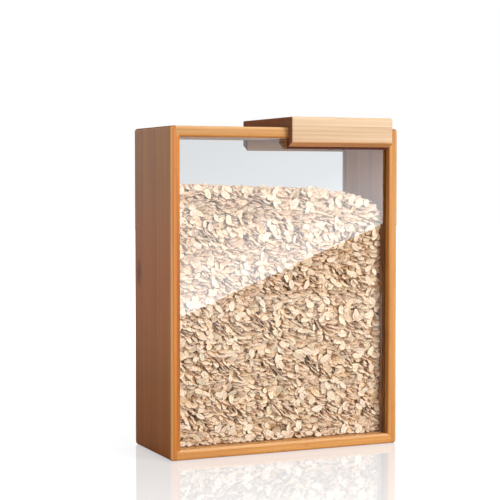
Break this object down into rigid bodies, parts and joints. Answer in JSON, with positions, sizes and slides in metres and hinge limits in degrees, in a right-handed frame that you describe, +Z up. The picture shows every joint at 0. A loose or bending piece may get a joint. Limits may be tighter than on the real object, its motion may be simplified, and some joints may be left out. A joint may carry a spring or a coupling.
{
  "type": "bamboo cereal dispenser",
  "caption": "Flat upright bamboo box with clear panes front and back, and a wrap-over lid that slides along the top to open a pouring mouth for dry food.",
  "frame": {"origin": "on the floor, under the middle of the box", "axes": "+X to the right towards the pouring mouth, +Y to the back, +Z up"},
  "size_m": [0.24, 0.116, 0.322],
  "materials": {
    "bamboo_sides": "satin varnish",
    "bamboo_cross_boards": "satin varnish",
    "bamboo_lid": "satin varnish",
    "clear_pane": "polished clear acrylic"
  },
  "bodies": {
    "box": {"left_side_panel": "bamboo_sides", "right_side_panel": "bamboo_sides", "base_board": "bamboo_cross_boards", "top_board": "bamboo_cross_boards", "front_pane": "clear_pane", "back_pane": "clear_pane"},
    "lid": {"lid_plate": "bamboo_lid", "lid_front_fascia": "bamboo_lid", "lid_back_fascia": "bamboo_lid", "lid_front_runner": "bamboo_lid", "lid_back_runner": "bamboo_lid"}
  },
  "joints": [
    {"name": "lid_slide", "type": "slide", "parent": "box", "child": "lid", "axis": [-1, 0, 0], "range_m": [0, 0.11]}
  ]
}
